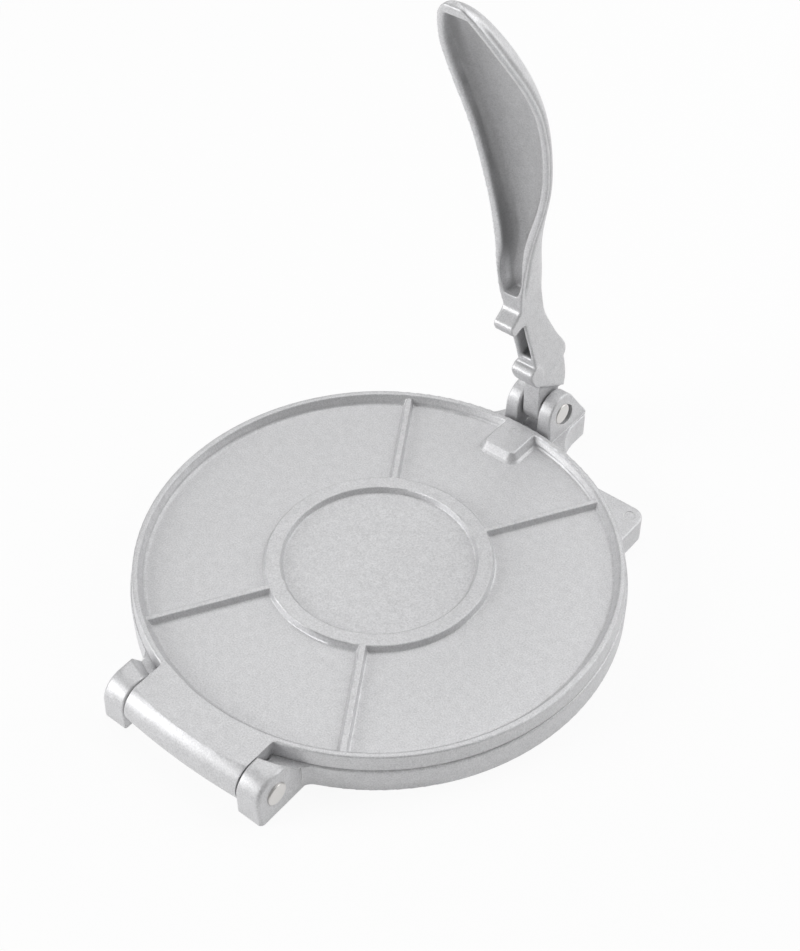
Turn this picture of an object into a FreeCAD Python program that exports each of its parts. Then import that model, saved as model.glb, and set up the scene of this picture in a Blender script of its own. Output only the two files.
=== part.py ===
import FreeCAD, Part
import Sketcher
import math
import os

# A small tortilla press in cast aluminium, closed, with its handle standing up.
# Three castings turn on two pins. The base lies on the table. The top plate opens on the hinge
# pin at the front, and the handle turns on the handle pin between two ears at the back.
# X runs along the pins, Y from the hinge to the handle, and Z up. The castings are drawn around
# the middle of the round plates, and each is then moved so that the middle of the whole press,
# seen from above, stands at the origin with the table at zero.

SIZES = [
    # base casting
    ("base_radius", 99.0, "half the width of the base"),
    ("base_height", 11.7, "table to the pressing face of the base"),
    ("base_edge", 0.8, "rounding of the outer edges of the base"),
    ("skirt_wall", 7.2, "wall around the hollow under the base"),
    ("base_web", 4.0, "thickness of the pressing face over the hollow"),
    ("hollow_fillet", 1.5, "rounding in the corner of the hollow"),
    ("under_ring_radius", 42.3, "middle of the ring rib under the base"),
    ("under_rib_width", 3.5, "width of the ribs under the base"),
    ("under_rib_gap", 1.0, "table to the ribs under the base"),
    # hinge at the front
    ("hinge_gap", 6.0, "edge of the base to the hinge axis"),
    ("hinge_drop", 2.2, "hinge axis below the pressing face of the base"),
    ("hinge_pin_radius", 4.6, "hinge pin"),
    ("hinge_pin_proud", 0.6, "how far the hinge pin stands out of each lug"),
    ("lug_inner", 28.5, "middle of the press to the inner face of a lug"),
    ("lug_foot", 40.3, "middle of the press to the outer face of a lug at the table"),
    ("lug_draft", 1.5, "how much the outer face of a lug leans in at its top"),
    ("lug_radius", 9.6, "round front of a lug about the hinge axis"),
    ("lug_back", 2.8, "edge of the base to the back of a lug at the pressing face"),
    ("lug_lean", 4.6, "how much further out the back of a lug is at its top"),
    ("lug_root", 6.0, "hollow corner between a lug and the base"),
    ("lug_outer_edge", 1.8, "rounding along the outer edge of a lug"),
    ("lug_inner_edge", 0.8, "rounding along the inner edge of a lug"),
    ("barrel_half", 28.0, "half the length of the hinge barrel"),
    ("barrel_end_radius", 9.3, "hinge barrel at its ends"),
    ("barrel_middle_radius", 10.5, "hinge barrel at its crowned middle"),
    ("barrel_drop", 8.8, "hinge axis to the flat under the barrel"),
    ("barrel_room", 0.6, "room around the barrel in the base"),
    # top plate casting
    ("plate_gap", 0.2, "gap between the two pressing faces"),
    ("plate_depth", 6.64, "pressing face of the top plate to the top of its rim"),
    ("plate_inset", 1.3, "how much smaller the top plate is than the base"),
    ("plate_draft", 0.6, "how much wider the top plate is at its lower edge"),
    ("rim_wall", 2.8, "width of the rim at its top"),
    ("rim_draft", 1.1, "how much the inner wall of the rim leans in at its foot"),
    ("rim_fillet", 1.5, "hollow corner at the foot of the rim"),
    ("rim_edge", 0.8, "rounding of the upper edges of the rim"),
    ("plate_web", 2.4, "thickness of the floor of the top plate"),
    ("ring_step", 0.27, "how much higher the floor is inside the ring"),
    ("ring_inner", 39.15, "inner radius of the ring at its top"),
    ("ring_outer", 45.46, "outer radius of the ring at its top"),
    ("ring_height", 2.76, "floor to the top of the ring and of the ribs"),
    ("ring_draft", 0.6, "how much wider each side of the ring is at its foot"),
    ("ring_fillet", 0.6, "hollow corner at the foot of the ring"),
    ("ring_edge", 0.5, "rounding of the edges of the ring"),
    ("rib_angle", 31.6, "degrees between each rib and the line from hinge to handle"),
    ("rib_width", 2.6, "width of a rib at its top"),
    ("rib_draft", 0.5, "how much wider each side of a rib is at its foot"),
    ("rib_fillet", 0.8, "hollow corner at the foot of a rib"),
    ("rib_edge", 0.5, "rounding of the upper edges of a rib"),
    ("boss_half", 7.3, "half the width of the block that the handle presses on"),
    ("boss_length", 15.5, "front of that block to the rim"),
    ("boss_corner", 2.0, "upright corners of that block"),
    ("boss_slope", 28.0, "degrees that the sides of that block lean"),
    ("boss_edge", 0.7, "rounding of the upper edges of that block"),
    ("boss_foot", 0.9, "height of the narrow plinth at the foot of that block"),
    ("plinth_slope", 50.0, "degrees that the sides of the plinth lean"),
    ("tongue_corner", 1.2, "hollow corner between the hinge tongue and the rim"),
    ("mark_radius", 2.4, "shallow round casting marks"),
    ("mark_depth", 0.15, "depth of the round casting marks"),
    # clevis at the back
    ("pivot_gap", 10.3, "edge of the base to the handle axis"),
    ("pivot_rise", 10.9, "handle axis above the pressing face of the base"),
    ("handle_pin_radius", 4.65, "handle pin"),
    ("handle_pin_proud", 0.3, "how far the handle pin stands out of each ear"),
    ("clevis_length", 20.1, "handle axis to the back of the clevis"),
    ("clevis_half", 13.6, "half the width of the clevis block"),
    ("clevis_root", 26.0, "hollow corner between the clevis block and the base"),
    ("clevis_corner", 2.0, "upright back corners of the clevis block"),
    ("ear_radius", 9.3, "round top of an ear about the handle axis"),
    ("ear_slot_half", 5.0, "half the gap between the ears"),
    ("ear_half", 12.3, "middle of the press to the outer face of an ear at its foot"),
    ("ear_draft", 1.3, "how much the outer face of an ear leans in at its top"),
    ("ear_edge", 0.9, "rounding along the edges of an ear"),
    ("ear_slope", 34.2, "degrees above level where the round top of an ear turns to its slope"),
    ("slot_travel", 3.6, "how much longer the hole in an ear is than the pin"),
    ("slot_fall", 37.6, "degrees that this hole falls towards the back"),
    # foot pad on one side
    ("pad_side_in", 31.3, "side of the base to the side of the pad"),
    ("pad_back_in", 7.3, "back of the base to the back of the pad"),
    ("pad_corner", 6.0, "rounded corner of the pad"),
    ("pad_root", 3.5, "hollow corners between the pad and the base"),
    ("pad_inset", 5.5, "corner mark to the two edges of the pad"),
    # handle casting
    ("neck_length", 75.0, "handle axis up to the start of the scoop"),
    ("neck_lean", 27.3, "handle axis forward to the lip at the start of the scoop"),
    ("neck_half", 4.7, "half the width of the neck"),
    ("cam_half", 5.4, "half the width of the cam"),
    ("shoulder_half", 5.2, "half the width of the shoulder that stops on the ears"),
    ("tongue_half", 4.3, "half the width of the handle's tongue between the ears"),
    ("tongue_radius", 7.3, "round end of the handle's tongue about its axis"),
    ("pocket_half", 2.6, "half the width of the pocket in the front of the neck"),
    ("pocket_depth", 6.0, "depth of the pocket"),
    ("scoop_rise", 144.4, "height from the start of the scoop to its tip"),
    ("scoop_lean", 42.0, "how far the tip leans forward of the start of the scoop"),
    ("scoop_half", 18.7, "half the width of the scoop at its widest"),
    ("scoop_depth", 11.0, "lip to the back of the scoop"),
    ("scoop_lip", 3.0, "width of the flat lip around the scoop"),
    ("scoop_hollow_depth", 8.2, "lip to the floor of the scoop"),
    # pins and fits
    ("pin_edge", 0.5, "rounded ends of the pins"),
    ("running_clearance", 0.08, "pin to the bore that turns on it"),
    ("seat_clearance", 0.02, "pin to the hole that holds it"),
    ("overrun", 3.0, "how far a cut runs past the face it starts from"),
]

# Places that follow from the sizes above. Every reach is measured from the middle of the plates
# and every height from the table.
PLACES = [
    ("hinge_reach", "base_radius + hinge_gap", "hinge axis"),
    ("hinge_height", "base_height - hinge_drop", "hinge axis"),
    ("plate_radius", "base_radius - plate_inset", "top plate at its upper edge"),
    ("plate_foot_radius", "plate_radius + plate_draft", "top plate at its lower edge"),
    ("plate_height", "base_height + plate_gap + plate_depth", "top of the rim"),
    ("rim_inner_radius", "plate_radius - rim_wall", "inner side of the rim at its top"),
    ("boss_reach", "rim_inner_radius - boss_length", "front of the block"),
    ("pivot_reach", "base_radius + pivot_gap", "handle axis"),
    ("pivot_height", "base_height + pivot_rise", "handle axis"),
    ("clevis_reach", "pivot_reach + clevis_length", "back of the clevis"),
    ("pad_side", "base_radius - pad_side_in", "side of the foot pad"),
    ("pad_back", "base_radius - pad_back_in", "back of the foot pad"),
]

doc = FreeCAD.newDocument("tortilla_press")
sheet = doc.addObject("Spreadsheet::Sheet", "sizes")
cells = [(alias, str(number), meaning) for alias, number, meaning in SIZES]
cells += [(alias, "=" + formula, meaning) for alias, formula, meaning in PLACES]
for row, (alias, content, meaning) in enumerate(cells, start=1):
    sheet.set("A%d" % row, alias)
    sheet.set("B%d" % row, content)
    sheet.set("C%d" % row, meaning)
    sheet.setAlias("B%d" % row, alias)
doc.recompute()


class Size:
    """A length and the formula that gives it. A sketch starts from the number and is bound to
    the formula, so sums of sizes can be written in plain arithmetic."""

    def __init__(self, number, formula):
        self.number = float(number)
        self.formula = formula

    def __add__(self, other):
        other = as_size(other)
        return Size(self.number + other.number, "(%s + %s)" % (self.formula, other.formula))

    def __sub__(self, other):
        other = as_size(other)
        return Size(self.number - other.number, "(%s - %s)" % (self.formula, other.formula))

    def __mul__(self, other):
        other = as_size(other)
        return Size(self.number * other.number, "(%s * %s)" % (self.formula, other.formula))

    def __truediv__(self, other):
        other = as_size(other)
        return Size(self.number / other.number, "(%s / %s)" % (self.formula, other.formula))

    def __neg__(self):
        return Size(-self.number, "(0 - %s)" % self.formula)


def as_size(item):
    """Turns a bare share or count into a Size."""
    if isinstance(item, Size):
        return item
    return Size(item, "(%.9g)" % item)


def root(square):
    """Square root of a product of two sizes."""
    return Size(math.sqrt(square.number), "sqrt(%s)" % square.formula)


def cosine(angle):
    return Size(math.cos(math.radians(angle.number)), "cos(%s)" % angle.formula)


def sine(angle):
    return Size(math.sin(math.radians(angle.number)), "sin(%s)" % angle.formula)


class Cells:
    """Every size of the sheet under its own name."""


S = Cells()
for alias, _, _ in cells:
    setattr(S, alias, Size(sheet.get(alias), "sizes.%s" % alias))

ZERO = as_size(0)


def along_circle(radius, across):
    """Height above the diameter of a circle, at a distance across from its middle."""
    return root(radius * radius - across * across)


def make_body(label):
    """One casting or pin as a body of its own."""
    body = doc.addObject("PartDesign::Body", "body_" + label)
    body.Label = label
    return body


def origin_plane(body, role):
    for item in body.Origin.OriginFeatures:
        if item.Role == role:
            return item


def make_sketch(body, name, role, offset=(ZERO, ZERO, ZERO)):
    """A sketch on one of the body's own origin planes. The offset is in the plane's own
    directions, and its last number lifts the sketch off the plane."""
    sketch = body.newObject("Sketcher::SketchObject", name)
    sketch.AttachmentSupport = [(origin_plane(body, role), "")]
    sketch.MapMode = "FlatFace"
    for letter, size in zip("xyz", offset):
        sketch.setExpression("AttachmentOffset.Base.%s" % letter, size.formula)
    return sketch


def turn(sketch, axis, side):
    """Turns a sketch by the angle of the ribs about an axis of its own plane."""
    sketch.AttachmentOffset = FreeCAD.Placement(
        sketch.AttachmentOffset.Base, FreeCAD.Rotation(axis, S.rib_angle.number * side))
    sketch.setExpression("AttachmentOffset.Rotation.Angle", (S.rib_angle * side).formula)


def pin_point(sketch, index, position, across, up):
    """Binds one point of a sketch to two formulas measured from the sketch's origin."""
    for kind, size in (("DistanceX", across), ("DistanceY", up)):
        number = sketch.addConstraint(
            Sketcher.Constraint(kind, -1, 1, index, position, size.number))
        sketch.setExpression("Constraints[%d]" % number, size.formula)


def draw_outline(sketch, path):
    """Draws a closed outline. Each entry of the path is a corner (across, up), reached by a
    straight line, or (across, up, radius, turn), reached by an arc that turns left (1) or
    right (-1). The first corner is reached from the last."""
    corners = [FreeCAD.Vector(entry[0].number, entry[1].number, 0) for entry in path]
    count = len(path)
    kinds = []
    for index, entry in enumerate(path):
        start = corners[index - 1]
        end = corners[index]
        if len(entry) == 2:
            kinds.append(sketch.addGeometry(Part.LineSegment(start, end), False))
            continue
        radius, turn = entry[2].number, entry[3]
        chord = end - start
        lift = math.sqrt(max(radius * radius - chord.Length * chord.Length / 4, 0))
        side = FreeCAD.Vector(-chord.y, chord.x, 0).normalize() * turn
        middle = (start + end) / 2 + side * lift
        circle = Part.Circle(middle, FreeCAD.Vector(0, 0, 1), radius)
        first, last = (start, end) if turn > 0 else (end, start)
        angles = [math.atan2(p.y - middle.y, p.x - middle.x) for p in (first, last)]
        if angles[1] < angles[0]:
            angles[1] += 2 * math.pi
        kinds.append(sketch.addGeometry(Part.ArcOfCircle(circle, *angles), False))
        number = sketch.addConstraint(Sketcher.Constraint("Radius", kinds[-1], radius))
        sketch.setExpression("Constraints[%d]" % number, entry[2].formula)
    for index, entry in enumerate(path):
        following = (index + 1) % count
        here = 2 if len(entry) == 2 or entry[3] > 0 else 1
        there = 1 if len(path[following]) == 2 or path[following][3] > 0 else 2
        sketch.addConstraint(
            Sketcher.Constraint("Coincident", kinds[index], here, kinds[following], there))
        pin_point(sketch, kinds[index], here, entry[0], entry[1])
    return sketch


def draw_circle(sketch, across, up, radius):
    """Draws a circle whose middle and radius are bound to formulas."""
    middle = FreeCAD.Vector(across.number, up.number, 0)
    index = sketch.addGeometry(
        Part.Circle(middle, FreeCAD.Vector(0, 0, 1), radius.number), False)
    number = sketch.addConstraint(Sketcher.Constraint("Radius", index, radius.number))
    sketch.setExpression("Constraints[%d]" % number, radius.formula)
    pin_point(sketch, index, 3, across, up)
    return sketch


def volume(body):
    doc.recompute()
    if body.Tip is None or body.Tip.Shape.isNull():
        return 0.0
    return body.Tip.Shape.Volume


def pad(body, name, sketch, length, centred=False, slope=None, backwards=False):
    """Adds a pad and checks that it added something."""
    before = volume(body)
    feature = body.newObject("PartDesign::Pad", name)
    feature.Profile = sketch
    feature.setExpression("Length", length.formula)
    feature.Midplane = centred
    feature.Reversed = backwards
    if slope is not None:
        feature.setExpression("TaperAngle", slope.formula)
    if volume(body) <= before:
        raise RuntimeError(name + " added nothing")
    return feature


def pocket(body, name, sketch, length=None, centred=False, backwards=False):
    """Cuts a pocket, right through where no length is given, and checks that it cut."""
    before = volume(body)
    feature = body.newObject("PartDesign::Pocket", name)
    feature.Profile = sketch
    if length is None:
        feature.Type = "ThroughAll"
    else:
        feature.setExpression("Length", length.formula)
    feature.Midplane = centred
    feature.Reversed = backwards
    if volume(body) >= before:
        raise RuntimeError(name + " cut nothing")
    return feature


def revolve(body, name, sketch, axis, cut=False):
    """Turns a profile right round an axis of its own sketch, to add or to cut."""
    before = volume(body)
    kind = "PartDesign::Groove" if cut else "PartDesign::Revolution"
    feature = body.newObject(kind, name)
    feature.Profile = sketch
    feature.ReferenceAxis = (sketch, [axis])
    feature.Angle = 360
    after = volume(body)
    if (after >= before) if cut else (after <= before):
        raise RuntimeError(name + " changed nothing")
    return feature


def edges_at(shape, places):
    """Names of the edges of a shape that pass closest to the given places."""
    names = []
    for place in places:
        spot = Part.Vertex(FreeCAD.Vector(*[size.number for size in place]))
        gaps = [edge.distToShape(spot)[0] for edge in shape.Edges]
        names.append("Edge%d" % (gaps.index(min(gaps)) + 1))
    return sorted(set(names))


def fillet(body, name, places, radius):
    """Rounds the edges that pass through the given places."""
    doc.recompute()
    base = body.Tip
    names = edges_at(base.Shape, places)
    feature = body.newObject("PartDesign::Fillet", name)
    feature.Base = (base, names)
    feature.setExpression("Radius", radius.formula)
    doc.recompute()
    if feature.Shape.isNull() or not feature.Shape.isValid():
        raise RuntimeError(name + " did not build")
    return feature


# places shared by several castings
plate_floor_low = S.base_height + S.plate_gap
plate_floor = plate_floor_low + S.plate_web
ring_floor = plate_floor + S.ring_step
ring_top = plate_floor + S.ring_height
middle_shift = (S.hinge_reach + S.barrel_middle_radius - S.clevis_reach) / 2

# how far along the block its casting mark stands, from the front of the block
boss_mark_share = 0.7


def root_points(line, radius, circle):
    """A hollow corner of a given radius between a round plate and a straight side. Gives how
    far along the side it starts, and the point where it meets the circle."""
    outer = circle + radius
    along = along_circle(outer, line + radius)
    share = circle / outer
    return along, ((line + radius) * share, along * share)


def make_base():
    """Base casting: a round plate on a skirt, with two hinge lugs at the front, a clevis block
    with two ears at the back and a foot pad on one side."""
    body = make_body("base_plate")

    # outline seen from above: round, with hollow corners to the lugs, the pad and the clevis.
    # At the height of these corners a lug has leaned in by a quarter of its draft.
    lug_face = S.lug_foot - S.lug_draft / 4
    lug_middle = (S.lug_inner + S.lug_foot) / 2
    front_y = along_circle(S.base_radius, lug_middle)
    lug_y, (lug_x, lug_low) = root_points(lug_face, S.lug_root, S.base_radius)
    side_y, (side_x, side_low) = root_points(S.pad_side, S.pad_root, S.base_radius)
    back_x, (back_y, back_end) = root_points(S.pad_back, S.pad_root, S.base_radius)
    block_y, (block_x, block_low) = root_points(S.clevis_half, S.clevis_root, S.base_radius)
    corner_x = S.clevis_half - S.clevis_corner
    corner_y = S.clevis_reach - S.clevis_corner
    plan = make_sketch(body, "base_outline", "XY_Plane")
    draw_outline(plan, [
        (lug_face, -lug_y),
        (lug_x, -lug_low, S.lug_root, -1),
        (side_x, side_low, S.base_radius, 1),
        (S.pad_side, side_y, S.pad_root, -1),
        (S.pad_side, S.pad_back - S.pad_corner),
        (S.pad_side - S.pad_corner, S.pad_back, S.pad_corner, 1),
        (back_x, S.pad_back),
        (back_end, back_y, S.pad_root, -1),
        (block_x, block_low, S.base_radius, 1),
        (S.clevis_half, block_y, S.clevis_root, -1),
        (S.clevis_half, corner_y),
        (corner_x, S.clevis_reach, S.clevis_corner, 1),
        (-corner_x, S.clevis_reach),
        (-S.clevis_half, corner_y, S.clevis_corner, 1),
        (-S.clevis_half, block_y),
        (-block_x, block_low, S.clevis_root, -1),
        (-lug_x, -lug_low, S.base_radius, 1),
        (-lug_face, -lug_y, S.lug_root, -1),
        (-lug_middle, -lug_y),
        (-lug_middle, -front_y),
        (lug_middle, -front_y, S.base_radius, 1),
        (lug_middle, -lug_y),
    ])
    pad(body, "base_block", plan, S.base_height)
    fillet(body, "base_edges",
           [(-S.base_radius, ZERO, S.base_height), (-S.base_radius, ZERO, ZERO)], S.base_edge)

    # lugs: a round front and a flat top, leaning back at the side towards the plates
    lug_top = S.hinge_height + S.lug_radius
    inside = S.hinge_reach - S.lug_radius * 2
    for side in (-1, 1):
        lug = make_sketch(body, "lug_section_%d" % side, "YZ_Plane",
                          (ZERO, ZERO, S.lug_inner * side))
        draw_outline(lug, [
            (-(S.hinge_reach + S.lug_radius), ZERO),
            (-(S.hinge_reach + S.lug_radius), S.hinge_height),
            (-S.hinge_reach, lug_top, S.lug_radius, -1),
            (-inside, lug_top),
            (-inside, ZERO),
        ])
        pad(body, "lug_%d" % side, lug, S.lug_foot - S.lug_inner, backwards=side < 0)
    for side in (-1, 1):
        foot = S.lug_foot * side
        lean = make_sketch(body, "lug_side_outline_%d" % side, "XZ_Plane",
                           (ZERO, ZERO, S.hinge_reach))
        draw_outline(lean, [(foot, ZERO), (foot + S.overrun * side, ZERO),
                            (foot + S.overrun * side, lug_top),
                            (foot - S.lug_draft * side, lug_top)])
        pocket(body, "lug_side_%d" % side, lean, (S.lug_radius + S.overrun) * 2, centred=True)
    front = -(S.hinge_reach + S.lug_radius)
    for side in (-1, 1):
        fillet(body, "lug_outer_edge_%d" % side,
               [(S.lug_foot * side, front, S.hinge_height / 2)], S.lug_outer_edge)
        fillet(body, "lug_inner_edge_%d" % side,
               [(S.lug_inner * side, front, S.hinge_height / 2)], S.lug_inner_edge)
    lug_back = S.base_radius + S.lug_back
    lug_rise = lug_top - S.base_height
    slant = root(S.lug_lean * S.lug_lean + lug_rise * lug_rise)
    rounding = S.lug_inner_edge * lug_rise / (slant + S.lug_lean)
    level = lug_back + S.lug_lean + rounding
    behind = make_sketch(body, "lug_back_profile", "XZ_Plane")
    draw_outline(behind, [
        (inside - S.lug_radius, S.base_height),
        (lug_back, S.base_height),
        (lug_back + S.lug_lean - rounding * S.lug_lean / slant,
         lug_top - rounding * lug_rise / slant),
        (level, lug_top, S.lug_inner_edge, -1),
        (level, lug_top + S.overrun),
        (inside - S.lug_radius, lug_top + S.overrun),
    ])
    revolve(body, "lug_back", behind, "V_Axis", cut=True)

    # ears: a round top about the handle axis, with a slope behind that is tangent to it
    tangent_y = S.pivot_reach + S.ear_radius * cosine(S.ear_slope)
    tangent_z = S.pivot_height + S.ear_radius * sine(S.ear_slope)
    drop = (tangent_z - S.base_height) * sine(S.ear_slope) / cosine(S.ear_slope)
    ear_top = S.pivot_height + S.ear_radius
    ear_front = S.pivot_reach - S.ear_radius
    for side in (-1, 1):
        ear = make_sketch(body, "ear_section_%d" % side, "YZ_Plane",
                          (ZERO, ZERO, S.ear_slot_half * side))
        draw_outline(ear, [
            (ear_front, S.base_height / 2),
            (tangent_y + drop, S.base_height / 2),
            (tangent_y + drop, S.base_height),
            (tangent_y, tangent_z),
            (ear_front, S.pivot_height, S.ear_radius, 1),
        ])
        pad(body, "ear_%d" % side, ear, S.ear_half - S.ear_slot_half, backwards=side < 0)
    lean = make_sketch(body, "ear_side_outline", "XZ_Plane")
    for side in (-1, 1):
        foot = S.ear_half * side
        draw_outline(lean, [(foot, S.base_height), (foot + S.overrun * side, S.base_height),
                            (foot + S.overrun * side, ear_top),
                            (foot - S.ear_draft * side, ear_top)])
    pocket(body, "ear_side", lean, centred=True)
    fillet(body, "ear_edges",
           [(across * side, ear_front, (S.base_height + S.pivot_height) / 2)
            for across in (S.ear_slot_half, S.ear_half) for side in (-1, 1)], S.ear_edge)

    # room for the barrel of the top plate, and the hollow under the base
    room = make_sketch(body, "barrel_room_outline", "YZ_Plane")
    draw_circle(room, -S.hinge_reach, S.hinge_height, S.barrel_middle_radius + S.barrel_room)
    pocket(body, "barrel_room_cut", room, S.lug_inner * 2, centred=True)
    hollow_radius = S.base_radius - S.skirt_wall
    hollow_top = S.base_height - S.base_web
    hollow = make_sketch(body, "hollow_profile", "XZ_Plane")
    draw_outline(hollow, [
        (ZERO, -S.overrun),
        (hollow_radius, -S.overrun),
        (hollow_radius, hollow_top - S.hollow_fillet),
        (hollow_radius - S.hollow_fillet, hollow_top, S.hollow_fillet, 1),
        (ZERO, hollow_top),
    ])
    revolve(body, "hollow", hollow, "V_Axis", cut=True)

    # ribs under the base, in the pattern of the ribs on the top plate
    rib_half = S.under_rib_width / 2
    under_ring = make_sketch(body, "under_ring_profile", "XZ_Plane")
    draw_outline(under_ring, [
        (S.under_ring_radius - rib_half, S.under_rib_gap),
        (S.under_ring_radius + rib_half, S.under_rib_gap),
        (S.under_ring_radius + rib_half, hollow_top + S.base_web / 2),
        (S.under_ring_radius - rib_half, hollow_top + S.base_web / 2),
    ])
    revolve(body, "under_ring", under_ring, "V_Axis")
    reach = hollow_radius + S.skirt_wall / 4
    for side in (-1, 1):
        under_rib = make_sketch(body, "under_rib_outline_%d" % side, "XY_Plane",
                                (ZERO, ZERO, S.under_rib_gap))
        turn(under_rib, FreeCAD.Vector(0, 0, 1), side)
        draw_outline(under_rib, [(-rib_half, -reach), (rib_half, -reach),
                                 (rib_half, reach), (-rib_half, reach)])
        pad(body, "under_rib_%d" % side, under_rib,
            hollow_top + S.base_web / 2 - S.under_rib_gap)
    middle = make_sketch(body, "under_middle_outline", "XY_Plane")
    draw_circle(middle, ZERO, ZERO, S.under_ring_radius - rib_half)
    pocket(body, "under_middle", middle, hollow_top, backwards=True)

    # holes for the two pins
    pin_hole = make_sketch(body, "hinge_hole_outline", "YZ_Plane")
    draw_circle(pin_hole, -S.hinge_reach, S.hinge_height, S.hinge_pin_radius + S.seat_clearance)
    pocket(body, "hinge_hole", pin_hole, S.lug_foot * 2 + S.overrun, centred=True)
    hole = make_sketch(body, "handle_hole_outline", "YZ_Plane")
    radius = S.handle_pin_radius + S.seat_clearance
    back, down = cosine(S.slot_fall), sine(S.slot_fall)
    far_y = S.pivot_reach + S.slot_travel * back
    far_z = S.pivot_height - S.slot_travel * down
    draw_outline(hole, [
        (S.pivot_reach + radius * down, S.pivot_height + radius * back),
        (S.pivot_reach - radius * back, S.pivot_height + radius * down, radius, 1),
        (S.pivot_reach - radius * down, S.pivot_height - radius * back, radius, 1),
        (far_y - radius * down, far_z - radius * back),
        (far_y + radius * back, far_z - radius * down, radius, 1),
        (far_y + radius * down, far_z + radius * back, radius, 1),
    ])
    pocket(body, "handle_hole", hole, S.ear_half * 2 + S.overrun, centred=True)

    # round casting mark on the foot pad
    mark = make_sketch(body, "pad_mark_outline", "XY_Plane", (ZERO, ZERO, S.base_height))
    draw_circle(mark, S.pad_side - S.pad_inset, S.pad_back - S.pad_inset, S.mark_radius)
    pocket(body, "pad_mark", mark, S.mark_depth)
    return body


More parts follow.
